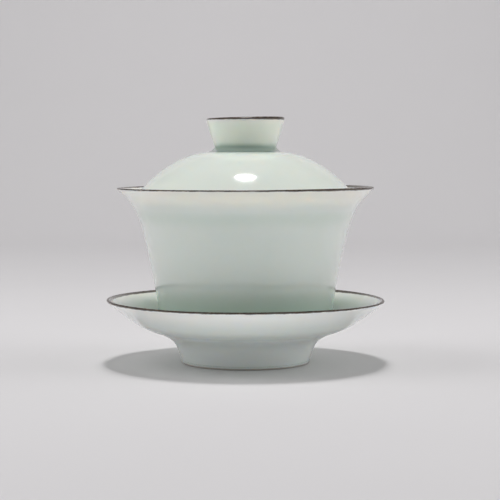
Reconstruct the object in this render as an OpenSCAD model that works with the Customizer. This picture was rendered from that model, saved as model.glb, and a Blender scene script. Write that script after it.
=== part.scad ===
// Gaiwan: a lidded tea bowl on a footed saucer, in pale green glazed porcelain.
// Three loose pieces stand on each other: saucer, bowl, lid. Each was thrown in sections
// that were joined with slip while soft, and each lip carries a fired iron-brown line.
// Millimetres. +Z is up, and the origin is the middle of the saucer's foot, on the table.

/* [Saucer] */
// Diameter of the saucer at its lip
saucer_d = 108.4; // [104:0.2:114]
// Height of the saucer's lip above the table
saucer_h = 24.7; // [23.4:0.1:26]
// Outside diameter of the tall foot, where it stands
saucer_foot_d = 49.6; // [47:0.2:51]
// Thickness of the dish near its foot
saucer_wall = 2.4; // [2.2:0.1:2.8]
// Thickness of the dish at its lip
saucer_lip = 1.1; // [1:0.1:1.5]
// Diameter of the sunk well that the bowl's foot stands in
well_d = 46; // [45:0.2:47]

/* [Bowl] */
// Diameter of the bowl at its flared lip
bowl_d = 100; // [97:0.2:103]
// Height of the bowl on its own, from foot to lip
bowl_h = 60.6; // [58:0.2:64]
// Outside diameter of the bowl's foot ring, where it stands
bowl_foot_d = 42.4; // [41:0.2:43]
// Height of the bowl's foot ring
bowl_foot_h = 4; // [3.8:0.1:4.4]
// Thickness of the bowl's wall low down
bowl_wall = 2.6; // [2.2:0.1:3]
// Thickness of the bowl's wall at the lip
bowl_lip = 1.1; // [1:0.1:1.5]

/* [Lid] */
// Diameter of the lid at its edge, before the rounded line
lid_d = 86.4; // [84:0.2:87]
// Height of the dome, from its edge to its crown
dome_h = 18.6; // [17.6:0.2:20]
// Thickness of the dome
dome_wall = 2.1; // [1.9:0.1:2.4]
// Diameter of the knob at its lip
knob_d = 30.4; // [29:0.2:32]
// Diameter of the knob's neck
neck_d = 24; // [23:0.2:25]
// Height of the knob above the crown of the dome
knob_h = 12.8; // [11:0.1:14]
// Thickness of the knob's wall at its lip
knob_lip = 1.7; // [1.5:0.1:2]

/* [Iron lines] */
// Height of the line on the lips of the saucer and the bowl
lip_line = 0.42; // [0.3:0.02:0.5]
// Height of the line on the lip of the knob
knob_line = 0.62; // [0.4:0.02:0.8]
// Width of the line on the lid's edge, measured along the dome
edge_line = 0.5; // [0.3:0.02:0.7]

/* [Fit] */
// Air left between pieces that rest on each other
seat_gap = 0.15; // [0.1:0.05:0.3]

/* [Hidden] */
$fn = 128;
step = 0.8;          // length of one facet along a curved outline
on_axis = 0.1;       // points of an outline nearer the axis than this give way to one on it
thin_out = 4;        // an inner wall keeps one in this many of the outer wall's points
lip_in = 0.35;       // an outer wall ends this far inside its widest, where the round nose starts
foot_wall = 2.6;     // width of the saucer's foot ring
foot_edge = 0.5;     // bevel on the edges that a foot ring stands on
saucer_nose_h = 0.75;  // height of the round nose on the saucer's lip
well_floor = 7.55;   // top of the well's floor above the table
well_wall = 2.5;     // thickness of the well's floor
bowl_ring = 3;       // width of the bowl's foot ring
bowl_flare = 0.6;    // how much wider the bowl's foot ring is at its top than where it stands
bowl_nose_h = 0.8;   // height of the round nose on the bowl's lip
bowl_base = 3.4;     // underside of the bowl inside its foot ring, above its foot
bowl_floor = 3.3;    // thickness of the bowl's floor in the middle
bowl_heel = 0.6;     // how much thicker the bowl's wall is where it meets the foot ring
lid_heel = 0.5;      // how much thicker the dome is at its crown
lid_edge_wall = 1.6; // thickness of the dome at its edge
knob_wall = 2.2;     // thickness of the knob's wall at its neck
knob_spread = 2.6;   // how far the knob's foot spreads over the dome
knob_nose_h = 0.85;  // height of the round nose on the knob's lip, outside

glaze = "#d3ddd6";
foot_glaze = "#cfd9d1";
iron = "#40342c";

// ---- curves ----

function chord(p, i) = norm(p[i + 1] - p[i]);
function inner_tangent(p, i) =
    let (a = chord(p, i - 1), b = chord(p, i))
    (a * (p[i + 1] - p[i]) / b + b * (p[i] - p[i - 1]) / a) / (a + b);
function tangent(p, i) =
    let (last = len(p) - 1)
    i == 0 ? 1.5 * (p[1] - p[0]) / chord(p, 0) - 0.5 * inner_tangent(p, 1)
    : i == last ? 1.5 * (p[last] - p[last - 1]) / chord(p, last - 1) - 0.5 * inner_tangent(p, last - 1)
    : inner_tangent(p, i);
function hermite(a, b, ta, tb, t) =
    (2 * pow(t, 3) - 3 * pow(t, 2) + 1) * a + (pow(t, 3) - 2 * pow(t, 2) + t) * ta
    + (3 * pow(t, 2) - 2 * pow(t, 3)) * b + (pow(t, 3) - pow(t, 2)) * tb;

// A smooth curve through the points p, cut into stretches about one step long
function spline(p) = [
    for (i = [0 : len(p) - 2])
        let (h = chord(p, i), n = ceil(h / step), ta = h * tangent(p, i), tb = h * tangent(p, i + 1))
        for (k = [0 : n - 1]) hermite(p[i], p[i + 1], ta, tb, k / n),
    p[len(p) - 1]];

function unit(v) = v / norm(v);
function heading(c, i) = unit(c[min(i + 1, len(c) - 1)] - c[max(i - 1, 0)]);
// The curve c moved to its left by a thickness that goes from t0 at its start to t1 at its end
function beside(c, t0, t1) = [
    for (i = [0 : len(c) - 1])
        let (d = heading(c, i), t = t0 + (t1 - t0) * i / (len(c) - 1))
        c[i] + t * [-d.y, d.x]];
function reversed(c) = [for (i = [len(c) - 1 : -1 : 0]) c[i]];
function lifted(c, dz) = [for (p = c) p + [0, dz]];

// A round nose from point a to point b that stands out to the right of the way from a to b
function nose(a, b, n = 20) =
    let (m = (a + b) / 2, r = (b - a) / 2, out = [r.y, -r.x])
    [for (k = [0 : n]) m - r * cos(180 * k / n) + out * sin(180 * k / n)];
// The line on a nose is the part that lies within h of its furthest point along way.
// The rest of the nose, with a flat where the line sits, belongs to the wall.
function on_line(c, way, h) =
    let (top = max([for (p = c) p * way]))
    [for (i = [0 : len(c) - 1]) if (c[i] * way > top - h) i];
function line_of(c, way, h) = [for (i = on_line(c, way, h)) c[i]];
function wall_of(c, way, h) =
    let (on = on_line(c, way, h), first = on[0], last = on[len(on) - 1])
    [for (i = [0 : len(c) - 1]) if (i <= first || i >= last) c[i]];
// The curve c with only every nth of its points, up to its last
function every(c, n) = [for (i = [(len(c) - 1) % n : n : len(c) - 1]) c[i]];
function first_of(c) = c[0];
function last_of(c) = c[len(c) - 1];
up = [0, 1];

module turned(outline) rotate_extrude() polygon(outline);

// ---- saucer ----

saucer_r = saucer_d / 2;
foot_r = saucer_foot_d / 2;
well_r = well_d / 2;
join_r = foot_r + 5.4;               // where the foot ring meets the dish, outside
join_z = 0.41 * saucer_h;
well_under = well_floor - well_wall;
rise = saucer_h - join_z;
reach = saucer_r - join_r;

// Underside of the dish, from the foot ring out to the lip
saucer_under = spline([
    [join_r, join_z],
    [join_r + 0.12 * reach, join_z + 0.103 * rise],
    [join_r + 0.32 * reach, join_z + 0.215 * rise],
    [join_r + 0.49 * reach, join_z + 0.350 * rise],
    [join_r + 0.63 * reach, join_z + 0.508 * rise],
    [join_r + 0.80 * reach, join_z + 0.712 * rise],
    [saucer_r - lip_in, saucer_h - saucer_nose_h]]);

// The faces where the dish sits in the foot ring, from the outside in
saucer_seat = [
    [join_r, join_z],
    [well_r + 2.8, join_z - 1],
    [well_r + 1.3, well_under + 0.9],
    [well_r + 0.2, well_under]];
// Top of the dish, from the edge of the well's floor out to the lip
saucer_top = spline(concat(
    [[well_r - 1, well_floor],
     [well_r - 0.3, well_floor + 0.35],
     [well_r, well_floor + 1.2],
     [well_r + 0.35, join_z + 0.2],
     [well_r + 1.3, join_z + 0.95],
     [well_r + 3.5, join_z + 1.6]],
    every(beside(saucer_under, saucer_wall, saucer_lip), thin_out)));
saucer_nose = nose(last_of(saucer_under), last_of(saucer_top));

module saucer_dish() color(glaze)
    turned(concat(
        [[0, well_under], [0, well_floor]],
        saucer_top,
        reversed(wall_of(saucer_nose, up, lip_line)),
        reversed(saucer_under),
        [for (i = [1 : len(saucer_seat) - 1]) saucer_seat[i]]));

module saucer_foot_ring() color(foot_glaze)
    turned(concat(
        [[foot_r - foot_wall + foot_edge, 0], [foot_r - foot_edge, 0]],
        spline([
            [foot_r, foot_edge],
            [foot_r + 0.9, 0.33 * join_z],
            [foot_r + 2.0, 0.64 * join_z],
            [foot_r + 2.65, 0.79 * join_z],
            [foot_r + 3.6, 0.91 * join_z],
            [join_r, join_z]]),
        [for (i = [1 : len(saucer_seat) - 1]) saucer_seat[i]],
        [[foot_r - foot_wall + 0.3, 0.5 * well_under], [foot_r - foot_wall, foot_edge]]));

module saucer_rim_line() color(iron)
    turned(line_of(saucer_nose, up, lip_line));

// ---- bowl ----

bowl_z = well_floor + seat_gap;      // the bowl's own foot, above the table
bowl_r = bowl_d / 2;
ring_r = bowl_foot_d / 2;
side_h = bowl_h - bowl_nose_h - bowl_foot_h;
side_r = bowl_r - ring_r - bowl_flare;

// Outside of the bowl, from its foot ring up to the lip
bowl_outside = lifted(spline([
    [ring_r + bowl_flare, bowl_foot_h],
    [ring_r + 0.22 * side_r, bowl_foot_h + 0.022 * side_h],
    [ring_r + 0.37 * side_r, bowl_foot_h + 0.070 * side_h],
    [ring_r + 0.445 * side_r, bowl_foot_h + 0.140 * side_h],
    [ring_r + 0.473 * side_r, bowl_foot_h + 0.235 * side_h],
    [ring_r + 0.513 * side_r, bowl_foot_h + 0.360 * side_h],
    [ring_r + 0.567 * side_r, bowl_foot_h + 0.500 * side_h],
    [ring_r + 0.630 * side_r, bowl_foot_h + 0.645 * side_h],
    [ring_r + 0.694 * side_r, bowl_foot_h + 0.767 * side_h],
    [ring_r + 0.780 * side_r, bowl_foot_h + 0.870 * side_h],
    [ring_r + 0.873 * side_r, bowl_foot_h + 0.936 * side_h],
    [bowl_r - lip_in, bowl_h - bowl_nose_h]]), bowl_z);
bowl_side = beside(bowl_outside, bowl_wall + bowl_heel, bowl_lip);
// Inside of the bowl, from the middle of its floor up to the lip
bowl_inside = spline(concat(
    [[0, bowl_z + bowl_base + bowl_floor], [0.6 * ring_r, bowl_z + bowl_base + bowl_floor + 0.05]],
    [for (p = every(bowl_side, thin_out)) if (p.x > ring_r + 2) p]));
bowl_nose = nose(last_of(bowl_outside), last_of(bowl_inside));

module bowl_body() color(glaze)
    turned(concat(
        bowl_inside,
        reversed(wall_of(bowl_nose, up, lip_line)),
        reversed(bowl_outside),
        [[ring_r - bowl_ring - 0.5, bowl_z + bowl_base], [0, bowl_z + bowl_base + 0.2]]));

module bowl_foot_ring() color(foot_glaze)
    turned([
        [ring_r - bowl_ring + foot_edge, bowl_z],
        [ring_r - foot_edge, bowl_z],
        [ring_r, bowl_z + foot_edge],
        [ring_r + 0.15, bowl_z + 0.6 * bowl_foot_h],
        [ring_r + bowl_flare, bowl_z + bowl_foot_h],
        [ring_r - bowl_ring - 0.5, bowl_z + bowl_base],
        [ring_r - bowl_ring, bowl_z + foot_edge]]);

module bowl_rim_line() color(iron)
    turned(line_of(bowl_nose, up, lip_line));

// ---- lid ----

lid_r = lid_d / 2;
knob_r = knob_d / 2;
neck_r = neck_d / 2;

// Top of the dome, from the crown out to the edge, with the edge at height 0. The curve starts
// on the far side of the crown, so that the crown is level, and that start is then left off.
crown_bend = [0.14 * lid_r, 0.9985 * dome_h];
dome_curve = spline([
    [-crown_bend.x, crown_bend.y],
    [0, dome_h],
    crown_bend,
    [0.28 * lid_r, 0.991 * dome_h],
    [0.375 * lid_r, 0.972 * dome_h],
    [0.468 * lid_r, 0.929 * dome_h],
    [0.562 * lid_r, 0.850 * dome_h],
    [0.672 * lid_r, 0.716 * dome_h],
    [0.759 * lid_r, 0.582 * dome_h],
    [0.848 * lid_r, 0.408 * dome_h],
    [0.921 * lid_r, 0.237 * dome_h],
    [lid_r, 0]]);
dome_form = concat([[0, dome_h]], [for (p = dome_curve) if (p.x > on_axis) p]);
under_form = beside(dome_form, -dome_wall - lid_heel, -lid_edge_wall);
edge_form = nose(last_of(under_form), last_of(dome_form));
edge_way = heading(dome_form, len(dome_form) - 1);

// The lid sinks into the flared mouth until its round edge is seat_gap off the bowl's wall
mouth = [for (p = bowl_inside) if (p.x > lid_r - 3) [p.x, p.y]];
slant = 1.4;         // the mouth is about 45 degrees there, so the gap counts this much upwards
lid_z = max([for (p = edge_form) lookup(p.x, mouth) - p.y]) + slant * seat_gap;
dome_top = lifted(dome_form, lid_z);
under_middle = [0, first_of(under_form).y];
dome_under = lifted(concat([under_middle], [for (p = under_form) if (p.x > on_axis) p]), lid_z);
lid_edge = lifted(edge_form, lid_z);
crown_z = lid_z + dome_h;
knob_z = crown_z + knob_h;

// Height of the dome's top at radius r
function dome_z(r) = lookup(r, dome_top);

// Outside of the knob, from where its foot spreads over the dome up to its lip
skirt_r = neck_r + knob_spread;
knob_outside = spline([
    [skirt_r, dome_z(skirt_r)],
    [neck_r + 0.75, crown_z + 0.45],
    [neck_r, crown_z + 1.5],
    [neck_r + 0.10 * (knob_r - neck_r), crown_z + 0.20 * knob_h],
    [neck_r + 0.47 * (knob_r - neck_r), crown_z + 0.48 * knob_h],
    [neck_r + 0.80 * (knob_r - neck_r), crown_z + 0.77 * knob_h],
    [knob_r, knob_z - knob_nose_h]]);
// Inside of the knob, from its lip down to the crown of the dome
hollow_r = neck_r - knob_wall;
knob_inside = spline([
    [knob_r - knob_lip, knob_z - knob_nose_h + 0.1],
    [hollow_r + 1.5, crown_z + 0.55 * knob_h],
    [hollow_r, crown_z + 0.27 * knob_h],
    [hollow_r - 1.1, crown_z + 0.11 * knob_h],
    [hollow_r - 3.2, dome_z(hollow_r - 3.2)]]);
knob_nose = nose(last_of(knob_outside), first_of(knob_inside));
// The part of the dome's top that the knob is joined to, from the inside out
knob_seat = [for (p = dome_top) if (p.x > hollow_r - 3.1 && p.x < skirt_r - 0.1) p];

module lid_dome() color(glaze)
    turned(concat(
        dome_top,
        reversed(wall_of(lid_edge, edge_way, edge_line)),
        reversed(dome_under)));

module lid_knob() color(foot_glaze)
    turned(concat(knob_outside, wall_of(knob_nose, up, knob_line), knob_inside, knob_seat));

module lid_knob_rim_line() color(iron)
    turned(line_of(knob_nose, up, knob_line));

module lid_edge_line() color(iron)
    turned(line_of(lid_edge, edge_way, edge_line));

saucer_dish();
saucer_foot_ring();
saucer_rim_line();
bowl_body();
bowl_foot_ring();
bowl_rim_line();
lid_dome();
lid_knob();
lid_knob_rim_line();
lid_edge_line();
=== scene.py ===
# Gaiwan: a lidded tea bowl on a footed saucer, thrown in porcelain and glazed pale green.
# Everything is in metres, +Z up, with the saucer's foot standing on the floor at z = 0.

import math

import bmesh
import bpy
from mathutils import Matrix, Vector


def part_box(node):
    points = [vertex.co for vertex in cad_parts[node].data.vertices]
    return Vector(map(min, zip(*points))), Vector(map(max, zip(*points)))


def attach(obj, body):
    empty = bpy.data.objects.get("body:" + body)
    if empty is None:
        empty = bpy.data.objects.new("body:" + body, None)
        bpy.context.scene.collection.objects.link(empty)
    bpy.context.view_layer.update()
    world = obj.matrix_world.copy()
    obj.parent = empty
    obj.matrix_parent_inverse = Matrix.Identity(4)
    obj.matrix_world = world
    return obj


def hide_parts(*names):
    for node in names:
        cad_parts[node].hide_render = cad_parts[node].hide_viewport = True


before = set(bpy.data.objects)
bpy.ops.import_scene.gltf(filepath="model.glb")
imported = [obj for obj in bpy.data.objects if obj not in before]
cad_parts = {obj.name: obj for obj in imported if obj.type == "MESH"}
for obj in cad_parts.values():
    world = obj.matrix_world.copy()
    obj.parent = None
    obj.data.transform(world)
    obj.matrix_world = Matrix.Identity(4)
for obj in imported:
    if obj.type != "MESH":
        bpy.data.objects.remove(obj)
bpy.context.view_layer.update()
scene = bpy.context.scene
mm = 0.001
perMetre = 1000.0        # millimetres in a metre, where a glaze or a note counts in millimetres
mergeGap = 0.001 * mm    # points closer than this are one point
seatGap = 0.005 * mm     # and this is how far two pieces' outlines may be apart on a shared seat
print("frame loaded")


# Small tools for working on one piece at a time

def deselectAll():
    bpy.ops.object.select_all(action="DESELECT")


def makeActive(piece):
    deselectAll()
    piece.select_set(True)
    bpy.context.view_layer.objects.active = piece


def startEdit(piece, kind="VERT"):
    makeActive(piece)
    bpy.ops.object.mode_set(mode="EDIT")
    bpy.ops.mesh.select_mode(type=kind)
    bpy.ops.mesh.select_all(action="DESELECT")


def endEdit():
    bpy.ops.object.mode_set(mode="OBJECT")


def pick(piece, where):
    # selects the points whose place passes the test, and what lies between them
    work = bmesh.from_edit_mesh(piece.data)
    for point in work.verts:
        point.select_set(bool(where(point.co)))
    work.select_flush_mode()
    work.select_flush(True)
    bmesh.update_edit_mesh(piece.data)


def applyModifier(piece, kind, **settings):
    makeActive(piece)
    modifier = piece.modifiers.new(kind.title(), kind)
    for key, value in settings.items():
        setattr(modifier, key, value)
    bpy.ops.object.modifier_apply(modifier=modifier.name)


# Pottery is turned: each piece starts as the outline of its section and is spun round the axis

def sectionOf(name, node):
    # the section's outline in the XZ plane, cut from a copy of the frame's own piece
    piece = bpy.data.objects.new(name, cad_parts[node].data.copy())
    scene.collection.objects.link(piece)
    piece.data.materials.clear()
    startEdit(piece)
    bpy.ops.mesh.select_all(action="SELECT")
    bpy.ops.mesh.remove_doubles(threshold=mergeGap)
    bpy.ops.mesh.bisect(plane_co=(0, 0, 0), plane_no=(0, 1, 0), use_fill=False,
                        clear_inner=True, clear_outer=True, threshold=mergeGap / 2)
    bpy.ops.mesh.select_all(action="SELECT")
    bpy.ops.mesh.bisect(plane_co=(0, 0, 0), plane_no=(1, 0, 0), use_fill=False,
                        clear_inner=True, threshold=mergeGap / 2)
    bpy.ops.mesh.select_all(action="SELECT")
    bpy.ops.mesh.dissolve_limited(angle_limit=math.radians(0.05))
    pick(piece, lambda p: p.x < 10 * mergeGap)  # the points on the axis, exactly on it
    bpy.ops.transform.resize(value=(0, 1, 1), center_override=(0, 0, 0))
    endEdit()
    return piece


def joinSections(upper, lower):
    # makes one section of two and clears away the seat they share
    seat = [p.co.copy() for p in lower.data.vertices
            if any((p.co - q.co).length < seatGap for q in upper.data.vertices)]
    makeActive(upper)
    lower.select_set(True)
    bpy.ops.object.join()
    startEdit(upper, "EDGE")
    bpy.ops.mesh.select_all(action="SELECT")
    bpy.ops.mesh.remove_doubles(threshold=seatGap)
    bpy.ops.mesh.select_all(action="DESELECT")
    work = bmesh.from_edit_mesh(upper.data)
    for edge in work.edges:
        edge.select_set(all(any((p.co - q).length < 2 * seatGap for q in seat)
                            for p in edge.verts))
    bmesh.update_edit_mesh(upper.data)
    bpy.ops.mesh.delete(type="EDGE")
    bpy.ops.mesh.select_all(action="SELECT")
    bpy.ops.mesh.delete_loose(use_verts=True, use_edges=False, use_faces=False)
    endEdit()
    return upper


def soften(piece, where, times):
    # eases the bend in the outline over the points chosen
    startEdit(piece)
    pick(piece, where)
    bpy.ops.mesh.vertices_smooth(factor=0.5, repeat=times)
    endEdit()


def raiseBead(piece, at, look, side):
    # the roll of glaze that gathers where the bare foot begins; side is 1 outside, -1 inside
    startEdit(piece)
    pick(piece, at)
    bpy.ops.mesh.subdivide(number_cuts=12)
    middle = min(p.co.z for p in piece.data.vertices if at(p.co)) + look["beadAbove"]
    layers = (1.0, 0.7, 0.4)            # each layer is narrower than the one below it
    for share in layers:
        pick(piece, lambda p: at(p) and abs(p.z - middle) < share * look["beadWidth"] / 2)
        bpy.ops.transform.translate(value=(side * look["beadStand"] / len(layers), 0, 0))
    endEdit()


def roundCorners(piece, where, radius):
    startEdit(piece)
    pick(piece, where)
    bpy.ops.mesh.bevel(offset=radius, segments=4, affect="VERTICES", clamp_overlap=True)
    endEdit()


def turn(piece, steps):
    # spins the section round the axis and closes the seam and the poles
    steps = steps
    startEdit(piece)
    bpy.ops.mesh.select_all(action="SELECT")
    bpy.ops.mesh.spin(steps=steps, angle=math.tau, center=(0, 0, 0), axis=(0, 0, 1),
                      use_auto_merge=True)
    bpy.ops.mesh.select_all(action="SELECT")
    bpy.ops.mesh.remove_doubles(threshold=mergeGap)
    bpy.ops.mesh.select_all(action="SELECT")
    bpy.ops.mesh.normals_make_consistent(inside=False)
    endEdit()
    makeActive(piece)
    bpy.ops.object.shade_smooth_by_angle(angle=math.radians(35))


def sway(pieces, weightOf, wobble, lean=0.0):
    # a lip is never quite level: it wobbles, and leans to one side, by fractions of a millimetre
    for piece in pieces:
        group = piece.vertex_groups.new(name="lip")
        for point in piece.data.vertices:
            group.add([point.index], weightOf(point.co), "REPLACE")
        for texture, strength in ((clayClouds, 2 * wobble), (clayLean, 2 * lean)):
            if strength:
                applyModifier(piece, "DISPLACE", texture=texture, direction="Z", mid_level=0.5,
                              texture_coords="LOCAL", strength=strength, vertex_group="lip")


def finishPiece(piece, body, nodes, material):
    # gives the piece its glaze and its place in the frame, and reports its mesh
    work = bmesh.new()
    work.from_mesh(piece.data)
    openEdges = sum(1 for edge in work.edges if not edge.is_manifold)
    work.free()
    piece.data.materials.clear()
    piece.data.materials.append(material)
    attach(piece, body)
    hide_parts(*nodes)
    print(piece.name, len(piece.data.polygons), "faces,", openEdges, "open edges")


# Glazes. An expression on sockets adds its own Math nodes.

class Wire:
    def __init__(self, glaze, socket):
        self.glaze = glaze
        self.socket = socket

    def maths(self, operation, first, second=None):
        inputs = {0: first} if second is None else {0: first, 1: second}
        return self.glaze.add("ShaderNodeMath", {"operation": operation}, inputs)

    def __add__(self, other):
        return self.maths("ADD", self, other)

    def __radd__(self, other):
        return self.maths("ADD", other, self)

    def __sub__(self, other):
        return self.maths("SUBTRACT", self, other)

    def __rsub__(self, other):
        return self.maths("SUBTRACT", other, self)

    def __mul__(self, other):
        return self.maths("MULTIPLY", self, other)

    def __rmul__(self, other):
        return self.maths("MULTIPLY", other, self)

    def sine(self):
        return self.maths("SINE", self)


class Glaze:
    def __init__(self, name):
        self.material = bpy.data.materials.new(name)
        self.material.use_nodes = True
        self.nodes = self.material.node_tree.nodes
        self.links = self.material.node_tree.links
        self.nodes.clear()
        self.place = self.add("ShaderNodeTexCoord", output="Object")
        split = self.add("ShaderNodeSeparateXYZ", inputs={0: self.place}).socket.node
        x, y, z = [Wire(self, socket) for socket in split.outputs]
        flat = self.add("ShaderNodeCombineXYZ", inputs={0: x, 1: y, 2: 0.0})
        self.height = z * perMetre      # height and radius are in millimetres
        self.radius = self.add("ShaderNodeVectorMath", {"operation": "LENGTH"}, {0: flat},
                               output="Value") * perMetre

    def upward(self):
        # 1 on faces that look up, 0 on faces that look down
        facing = self.add("ShaderNodeTexCoord", output="Normal")
        split = self.add("ShaderNodeSeparateXYZ", inputs={0: facing}, output=2)
        return self.between(split, -0.25, 0.25)

    def add(self, kind, settings=None, inputs=None, output=0):
        # every node of a glaze is made here; its result is the output asked for
        node = self.nodes.new(kind)
        for key, value in (settings or {}).items():
            if key == "stops":
                ramp = node.color_ramp.elements
                while len(ramp) < len(value):
                    ramp.new(0.5)
                for stop, (position, color) in zip(ramp, value):
                    stop.position = position
                    stop.color = (*color, 1.0)
            else:
                setattr(node, key, value)
        for key, value in (inputs or {}).items():
            if isinstance(value, Wire):
                self.links.new(value.socket, node.inputs[key])
            else:
                node.inputs[key].default_value = value
        return Wire(self, node.outputs[output]) if node.outputs else None

    def between(self, value, low, high):
        # 0 where the value is low, 1 where it is high, with a soft step
        return self.add("ShaderNodeMapRange", {"interpolation_type": "SMOOTHSTEP"},
                        {0: value, 1: low, 2: high, 3: 0.0, 4: 1.0})

    def clouds(self, size, detail=3.0, roughness=0.5):
        # soft noise with features of about that size in millimetres
        return self.add("ShaderNodeTexNoise", {"noise_dimensions": "3D"},
                        {"Vector": self.place, "Scale": perMetre / size, "Detail": detail,
                         "Roughness": roughness})

    def mix(self, factor, first, second):
        return self.add("ShaderNodeMix", {"data_type": "RGBA", "clamp_factor": True},
                        {0: factor, 6: first, 7: second}, output=2)

    def bump(self, height, depth, strength, below=None):
        inputs = {"Height": height, "Distance": depth * mm, "Strength": strength}
        if below is not None:
            inputs["Normal"] = below
        return self.add("ShaderNodeBump", inputs=inputs)


celadonLook = {
    "lip": (0.92, 0.895, 0.85),          # over the lips, where the warm body shows through
    "even": (0.765, 0.812, 0.772),
    "pooledAndShade": (0.50, 0.625, 0.535),      # where the glaze runs together, darkened further as painted shade in hollows and low down
    "cold": (0.87, 0.965, 0.90),         # thin glaze that looks down, as under the saucer, lightened as painted light from below
    "warm": (0.92, 0.96, 0.895),         # the same, close to the lip
    "underLightShare": 0.92,
    "drift": (26, 0.16),                 # slow change of thickness: size in mm, and how much
    "cloud": (5, 0.06),                  # the same, finer
    "bare": (0.70, 0.66, 0.60),          # fired body without glaze, where a foot stands
    "bareRough": 0.55,
    "bareRagged": 0.35,                  # how unevenly the glaze ends above it, in mm
    "speck": (0.22, 0.17, 0.12),         # pinpricks of iron in the clay
    "speckApart": 5.5,                   # in mm
    "speckShare": 0.35,
    "rings": (1.9, 2.0),                 # finger rings: how close, and how much they waver
    "gloss": 0.07,
    "glossDrift": 0.05,
    "bleedDepth": 0.55,                  # how far the iron line runs into the glaze, in mm
    "bleedShare": 0.9,
}
ironLook = {
    "dark": (0.045, 0.032, 0.026),
    "worn": (0.13, 0.092, 0.065),
    "bleed": (0.07, 0.05, 0.038),        # where it soaks into the glaze below
    "gloss": 0.28,
}


def principled(glaze, inputs):
    shader = glaze.add("ShaderNodeBsdfPrincipled", inputs=inputs)
    glaze.add("ShaderNodeOutputMaterial", inputs={"Surface": shader})
    return glaze.material


def celadon(name, thicknessAndShade, even=None, lip=None, bareBelow=None, underLightRadii=None, ironFrom=None):
    # the thickness function says how thick the glaze lies: 0 bare, 0.5 even, 1 pooled; the
    # pooled end also carries painted shade in hollows and low down
    look = celadonLook
    glaze = Glaze(name)
    driftSize, driftShare = look["drift"]
    cloudSize, cloudShare = look["cloud"]
    drift = glaze.clouds(driftSize, 2.0)
    cloud = glaze.clouds(cloudSize, 4.0)
    thickAndShade = thicknessAndShade(glaze) + (drift - 0.5) * driftShare + (cloud - 0.5) * cloudShare
    color = glaze.add("ShaderNodeValToRGB", {"stops": [
        (0.0, lip or look["lip"]), (0.5, even or look["even"]), (1.0, look["pooledAndShade"])]},
        {0: thickAndShade})
    if underLightRadii is not None:            # cold as far as the first radius, warm from the second: downward faces lightened as painted light from below
        down = glaze.mix(glaze.between(glaze.radius, *underLightRadii), (*look["cold"], 1.0),
                         (*look["warm"], 1.0))
        color = glaze.mix((1.0 - glaze.upward()) * look["underLightShare"], color, down)
    speck = glaze.add("ShaderNodeTexVoronoi", {"feature": "F1"},
                      {"Vector": glaze.place, "Scale": perMetre / look["speckApart"],
                       "Randomness": 1.0}, output="Distance")
    fewer = glaze.between(glaze.clouds(9, 1.0), 0.56, 0.62)
    prick = (1.0 - glaze.between(speck, 0.018, 0.035)) * fewer
    color = glaze.mix(prick * look["speckShare"], color, (*look["speck"], 1.0))
    rough = look["gloss"] + glaze.clouds(3.5, 3.0) * look["glossDrift"]
    skin = glaze.clouds(1.7, 2.0, 0.4)
    wave = glaze.clouds(9, 1.0, 0.3)
    ringsClose, ringsWaver = look["rings"]
    rings = (glaze.height * ringsClose + wave * ringsWaver).sine()
    normal = glaze.bump(skin, 0.02, 0.10)
    normal = glaze.bump(rings, 0.012, 0.15, normal)
    normal = glaze.bump(wave, 0.10, 0.10, normal)
    if bareBelow is not None:
        edge = bareBelow + (glaze.clouds(4, 2.0) - 0.5) * look["bareRagged"]
        bare = 1.0 - glaze.between(glaze.height - edge, -0.06, 0.06)
        color = glaze.mix(bare, color, (*look["bare"], 1.0))
        rough = rough + bare * look["bareRough"]
    if ironFrom is not None:             # the iron line bleeds down into the glaze, unevenly
        reach = ironFrom - glaze.clouds(3.0, 3.0, 0.6) * look["bleedDepth"]
        bleed = glaze.between(glaze.height - reach, -0.14, 0.14)
        color = glaze.mix(bleed * look["bleedShare"], color, (*ironLook["bleed"], 1.0))
    return principled(glaze, {
        "Base Color": color, "Roughness": rough, "Normal": normal,
        "IOR": 1.52, "Subsurface Weight": 1.0, "Subsurface Radius": (1.7, 1.5, 1.3),
        "Subsurface Scale": 1.0 * mm, "Coat Weight": 0.6, "Coat Roughness": 0.03})


def ironGlaze(name):
    glaze = Glaze(name)
    streak = glaze.clouds(2.2, 4.0, 0.6)
    color = glaze.add("ShaderNodeValToRGB", {"stops": [
        (0.35, ironLook["dark"]), (0.75, ironLook["worn"])]}, {0: streak})
    rough = ironLook["gloss"] + (glaze.clouds(1.2, 3.0) - 0.5) * 0.2
    normal = glaze.bump(glaze.clouds(0.9, 3.0), 0.03, 0.25)
    return principled(glaze, {"Base Color": color, "Roughness": rough, "Normal": normal,
                              "IOR": 1.5})


def smooth(value, low, high):
    # rises softly from 0 to 1 between the two values
    share = min(1.0, max(0.0, (value - low) / (high - low)))
    return share * share * (3 - 2 * share)


clayClouds = bpy.data.textures.new("clayClouds", "CLOUDS")
clayClouds.noise_scale = 0.05
clayClouds.noise_depth = 0
clayLean = bpy.data.textures.new("clayLean", "BLEND")     # rises from left to right
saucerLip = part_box("saucer_rim_line")[1]
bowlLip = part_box("bowl_rim_line")[1]
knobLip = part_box("lid_knob_rim_line")[1]
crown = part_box("lid_dome")[1]
print("tools and glazes ready")

# Saucer

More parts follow.
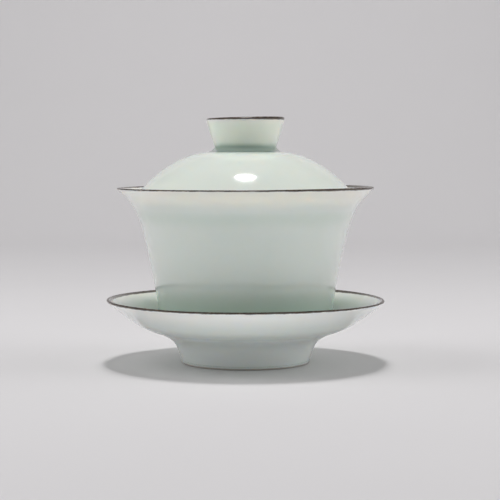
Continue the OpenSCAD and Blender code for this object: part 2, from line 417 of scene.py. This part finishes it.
saucer = {
    "steps": 240,         # faces round the saucer
    "lipBand": 8.0,       # the warm band starts this far inside the lip, in millimetres
    "lipFull": 0.5,       # and is full from here out
    "ironDepth": 0.45,    # the iron line's bleed starts this far below the lip, in millimetres
    "poolAndShade": (32, 54),     # radii between which the pooled glaze and the painted shade under the bowl thin out, in millimetres
    "bareBelow": 0.7,     # height of the glaze's lower edge, in millimetres
    # radii of the painted light on the saucer's downward faces, cold inside and warm near the
    # lip
    "underLightRadii": (44, 54),
    "footCorner": 0.25 * mm,     # roundness of the edges that the foot stands on
    "footEdge": 0.6 * mm,        # below this are the points of those edges
    "footMiddle": 6.8 * mm,      # the foot's outer and inner sides meet this far inside its top
    "beadTop": 2.6 * mm,         # a bead may use the foot's sides up to here
    "beadAbove": 1.0 * mm,
    "beadWidth": 0.9 * mm,
    "beadStand": 0.12 * mm,
    "jointReach": 7 * mm,        # the bend between dish and foot is eased this far each way
    "jointBelow": 6 * mm,
    "jointAbove": 1.2 * mm,
    "jointSlope": 0.45,          # the dish climbs about this much as it leaves the foot
    "jointRounds": 20,
    "wobble": 0.35 * mm,         # how far the lip rises and dips
    "wobbleFrom": 42 * mm,       # radius at which that begins
}


def saucerGlazeAndShade(glaze):
    lipR = saucerLip.x * perMetre
    band = glaze.between(glaze.radius, lipR - saucer["lipBand"], lipR - saucer["lipFull"])
    # pooled glaze in the well, also painted shade where the bowl shades the saucer
    poolAndShade = 1.0 - glaze.between(glaze.radius, *saucer["poolAndShade"])
    inside = 0.6 - band * 0.3 + poolAndShade * 0.5
    under = 0.45 - band * 0.3
    up = glaze.upward()
    return inside * up + under * (1.0 - up)


saucerGlaze = celadon("celadonSaucer", saucerGlazeAndShade, bareBelow=saucer["bareBelow"],
                      underLightRadii=saucer["underLightRadii"],
                      ironFrom=saucerLip.z * perMetre - saucer["ironDepth"])
rimIron = ironGlaze("ironLine")

saucerBody = joinSections(sectionOf("saucerBody", "saucer_dish"),
                          sectionOf("saucerFoot", "saucer_foot_ring"))
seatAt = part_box("saucer_foot_ring")[1]
footMiddle = seatAt.x - saucer["footMiddle"]
roundCorners(saucerBody, lambda p: p.z < saucer["footEdge"], saucer["footCorner"])
raiseBead(saucerBody, lambda p: p.z < saucer["beadTop"] and p.x > footMiddle, saucer, 1)
raiseBead(saucerBody, lambda p: p.z < saucer["beadTop"] and p.x < footMiddle, saucer, -1)


def atJoint(p):
    out = p.x - seatAt.x
    low = seatAt.z - saucer["jointBelow"]
    high = seatAt.z + saucer["jointAbove"] + saucer["jointSlope"] * out
    return abs(out) < saucer["jointReach"] and low < p.z < high


soften(saucerBody, atJoint, saucer["jointRounds"])
turn(saucerBody, saucer["steps"])

saucerLine = sectionOf("saucerLine", "saucer_rim_line")
turn(saucerLine, saucer["steps"])
sway([saucerBody, saucerLine],
     lambda p: smooth(Vector(p.xy).length, saucer["wobbleFrom"], saucerLip.x), saucer["wobble"])
finishPiece(saucerBody, "saucer", ["saucer_dish", "saucer_foot_ring"], saucerGlaze)
finishPiece(saucerLine, "saucer", ["saucer_rim_line"], rimIron)
print("saucer done")

# Bowl

bowl = {
    "steps": 320,
    "lipBand": 12.5,      # the warm band starts this far below the lip, in millimetres
    "lipFull": 0.5,       # and is full from here up
    "roll": (16, 9),      # below the band a thicker roll of glaze, this far below the lip
    "poolAndShade": (16, 34),     # heights between which the pooled glaze and the painted shade low on the bowl thin out
    "ironDepth": 0.45,
    "even": (0.735, 0.78, 0.74),     # a little darker than the saucer
    "lip": (0.80, 0.793, 0.758),
    "footThick": 0.75,
    "footBare": 0.6,      # the foot is bare up to this height, in millimetres
    "footCorner": 0.25 * mm,
    "footEdge": 0.6 * mm,
    "wobble": 0.22 * mm,
    "wobbleFrom": 3 * mm,            # the wobble begins this far below the lip
    "lean": 0.004,        # how much of its half-width the lip rises to the right
}


def bowlGlazeAndShade(glaze):
    lipZ = bowlLip.z * perMetre
    rollLow, rollHigh = bowl["roll"]
    band = glaze.between(glaze.height, lipZ - bowl["lipBand"], lipZ - bowl["lipFull"])
    roll = glaze.between(glaze.height, lipZ - rollLow, lipZ - rollHigh) * (1.0 - band)
    # pooled glaze low on the bowl, also painted shade where the saucer and the bowl's flare
    # shade it
    poolAndShade = 1.0 - glaze.between(glaze.height, *bowl["poolAndShade"])
    return 0.5 - band * 0.5 + roll * 0.18 + poolAndShade * 0.5


def bowlFootThickness(glaze):
    return bowl["footThick"]


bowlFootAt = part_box("bowl_foot_ring")[0].z
bowlGlaze = celadon("celadonBowl", bowlGlazeAndShade, bowl["even"], bowl["lip"],
                    ironFrom=bowlLip.z * perMetre - bowl["ironDepth"])
bowlFootGlaze = celadon("celadonBowlFoot", bowlFootThickness,
                        bareBelow=bowlFootAt * perMetre + bowl["footBare"])

bowlBody = sectionOf("bowlBody", "bowl_body")
turn(bowlBody, bowl["steps"])

bowlFoot = sectionOf("bowlFoot", "bowl_foot_ring")
roundCorners(bowlFoot, lambda p: p.z < bowlFootAt + bowl["footEdge"], bowl["footCorner"])
turn(bowlFoot, bowl["steps"])
finishPiece(bowlFoot, "bowl", ["bowl_foot_ring"], bowlFootGlaze)

bowlLine = sectionOf("bowlLine", "bowl_rim_line")
turn(bowlLine, bowl["steps"])
sway([bowlBody, bowlLine], lambda p: smooth(p.z, bowlLip.z - bowl["wobbleFrom"], bowlLip.z),
     bowl["wobble"], bowl["lean"])
finishPiece(bowlBody, "bowl", ["bowl_body"], bowlGlaze)
finishPiece(bowlLine, "bowl", ["bowl_rim_line"], rimIron)
print("bowl done")

# Lid

lid = {
    "steps": 320,
    "even": (0.80, 0.853, 0.785),    # the lid's colour is a little lighter than the bowl's
    "edgeBand": 6.0,      # width of the thinner glaze at the edge, in millimetres
    "edgeRadius": 43,
    "domePoolAndShade": (12, 20),            # glaze gathers round the knob between these radii, also painted shade at the knob's foot
    "knobBand": 3.5,      # the warm band starts this far below the knob's lip
    "knobFull": 0.6,      # and is full from here up
    "knobPoolAndShade": (-0.5, 3.8),         # above the crown, the glaze pooled at the knob's foot, painted darker there as shade in the crease
    "ironDepth": 0.65,
    "wobble": 0.16 * mm,
    "wobbleFrom": 4 * mm,            # the wobble begins this far above the crown
    "lean": 0.017,
}


def domeGlazeAndShade(glaze):
    edge = glaze.between(glaze.radius, lid["edgeRadius"] - lid["edgeBand"], lid["edgeRadius"])
    # pooled glaze round the knob, also painted shade in the crease there
    poolAndShade = 1.0 - glaze.between(glaze.radius, *lid["domePoolAndShade"])
    return 0.5 - edge * 0.1 + poolAndShade * 0.22


def knobGlazeAndShade(glaze):
    lipZ, crownZ = knobLip.z * perMetre, crown.z * perMetre
    poolShadeLow, poolShadeHigh = lid["knobPoolAndShade"]
    band = glaze.between(glaze.height, lipZ - lid["knobBand"], lipZ - lid["knobFull"])
    poolAndShade = 1.0 - glaze.between(glaze.height, crownZ + poolShadeLow, crownZ + poolShadeHigh)
    # the pooled term also paints shade in the crease at the knob's foot
    return 0.44 - band * 0.30 + poolAndShade * 1.1


domeGlaze = celadon("celadonDome", domeGlazeAndShade, lid["even"])
knobGlaze = celadon("celadonKnob", knobGlazeAndShade, lid["even"],
                    ironFrom=knobLip.z * perMetre - lid["ironDepth"])

lidDome = sectionOf("lidDome", "lid_dome")
turn(lidDome, lid["steps"])
finishPiece(lidDome, "lid", ["lid_dome"], domeGlaze)

lidKnob = sectionOf("lidKnob", "lid_knob")
turn(lidKnob, lid["steps"])

knobLine = sectionOf("knobLine", "lid_knob_rim_line")
turn(knobLine, lid["steps"])
sway([lidKnob, knobLine], lambda p: smooth(p.z, crown.z + lid["wobbleFrom"], knobLip.z),
     lid["wobble"], lid["lean"])
finishPiece(lidKnob, "lid", ["lid_knob"], knobGlaze)
finishPiece(knobLine, "lid", ["lid_knob_rim_line"], rimIron)

edgeLine = sectionOf("edgeLine", "lid_edge_line")
turn(edgeLine, lid["steps"])
finishPiece(edgeLine, "lid", ["lid_edge_line"], rimIron)
print("lid done")

# Studio: a pale sweep, one small light overhead and soft light all round

studio = {
    "sweepDepth": 1.3,
    "sweepWidth": 2.6,
    "sweepHeight": 1.6,
    "sweepCurve": 0.55,
    "sweepTone": (0.655, 0.64, 0.648),
    "sweepDrift": 0.985,             # the paper's tone wanders down to this share of it
    "lights": {
        # name: place, point it looks at, size across and along, power in watts
        "leftSoftbox": ((-1.0, -0.1, 0.45), (0, 0, 0.04), (0.8, 0.8), 2.4),
        "rightSoftbox": ((1.0, -0.1, 0.45), (0, 0, 0.04), (0.8, 0.8), 3.4),
        "leftHighSoftbox": ((-0.8, -0.1, 0.95), (0, 0, 0.04), (0.7, 0.7), 2.6),
        "rightHighSoftbox": ((0.8, -0.1, 0.95), (0, 0, 0.04), (0.7, 0.7), 1.0),
        "leftBackSoftbox": ((-0.8, 0.5, 0.5), (0, 0, 0.04), (0.5, 0.8), 1.0),
        "rightBackSoftbox": ((0.8, 0.5, 0.5), (0, 0, 0.04), (0.5, 0.8), 1.0),
        "frontFill": ((0, -1.0, 0.5), (0, 0, 0.04), (0.8, 0.5), 0.7),
        "sweepWash": ((0, 0.75, 0.7), (0, 1.3, 0.4), (1.6, 0.3), 2.25),
        "frontCard": ((0, -0.11, 0.003), (0, -0.11, 1), (0.34, 0.08), 0.058),
        "backCard": ((0, 0.11, 0.003), (0, 0.11, 1), (0.34, 0.08), 0.058),
    },
    "keyPlace": (0, 0.085, 1.0),
    "keySize": (0.18, 0.11),         # across and along; it shows as a spot on the lid
    "keyPower": 4.85,
    "room": (0.145, 0.145, 0.148),
    "cardTint": (0.93, 1.0, 0.99),   # the cards are a cold white
}

deselectAll()
bpy.ops.mesh.primitive_plane_add(size=1, location=(0, 0, 0))
sweep = bpy.context.object
sweep.name = "studioSweep"
sweep.scale = (studio["sweepWidth"], studio["sweepDepth"] * 2, 1)
bpy.ops.object.transform_apply(location=True, rotation=True, scale=True)
startEdit(sweep, "EDGE")
backEdge = studio["sweepDepth"] * 0.99
pick(sweep, lambda p: p.y > backEdge)
bpy.ops.mesh.extrude_region_move(TRANSFORM_OT_translate={"value": (0, 0, studio["sweepHeight"])})
bpy.ops.mesh.select_all(action="DESELECT")
pick(sweep, lambda p: p.y > backEdge and p.z < studio["sweepHeight"] / 2)
bpy.ops.mesh.bevel(offset=studio["sweepCurve"], segments=24, affect="EDGES")
endEdit()
makeActive(sweep)
bpy.ops.object.shade_smooth()

paper = Glaze("studioPaper")
paperColor = paper.mix(paper.clouds(60, 3.0), (*studio["sweepTone"], 1.0),
                       (*(studio["sweepDrift"] * c for c in studio["sweepTone"]), 1.0))
paperNormal = paper.bump(paper.clouds(0.8, 3.0), 0.05, 0.15)
sweep.data.materials.append(principled(paper, {
    "Base Color": paperColor, "Roughness": 0.85 + paper.clouds(20) * 0.1, "Normal": paperNormal,
    "Specular IOR Level": 0.15}))


def placeLight(name, shape, place, aim, size, power):
    deselectAll()
    bpy.ops.object.light_add(type="AREA", location=place)
    light = bpy.context.object
    light.name = name
    light.rotation_euler = (Vector(aim) - Vector(place)).to_track_quat("-Z", "Y").to_euler()
    light.data.shape = shape
    light.data.size, light.data.size_y = size
    light.data.energy = power
    return light


placeLight("keyLight", "ELLIPSE", studio["keyPlace"], (0, 0, 0), studio["keySize"],
           studio["keyPower"])
for name, (place, aim, size, power) in studio["lights"].items():
    box = placeLight(name, "RECTANGLE", place, aim, size, power)
    box.visible_glossy = False       # soft fill that leaves no shape in the gloss
    if name.endswith("Card"):        # lies on the paper and throws light up under the saucer
        box.data.color = studio["cardTint"]
        box.visible_camera = False

world = bpy.data.worlds.new("studioRoom")
scene.world = world
world.use_nodes = True
world.node_tree.nodes["Background"].inputs["Color"].default_value = (*studio["room"], 1.0)

scene.view_settings.view_transform = "Standard"
scene.view_settings.look = "None"

# Camera, low and level with the lid, looking slightly down

cameraLook = {
    "distance": 0.596,
    "height": 0.0809,
    "across": 0.00175,
    "lens": 110.3,
    "down": 3.55,
}
cameraData = bpy.data.cameras.new("camera")
camera = bpy.data.objects.new("camera", cameraData)
scene.collection.objects.link(camera)
cameraData.lens = cameraLook["lens"]
cameraData.sensor_width = 36
cameraData.clip_start = 0.01
cameraData.clip_end = 20
camera.location = (cameraLook["across"], -cameraLook["distance"], cameraLook["height"])
camera.rotation_euler = (math.radians(90 - cameraLook["down"]), 0, 0)
scene.camera = camera
print("studio done")
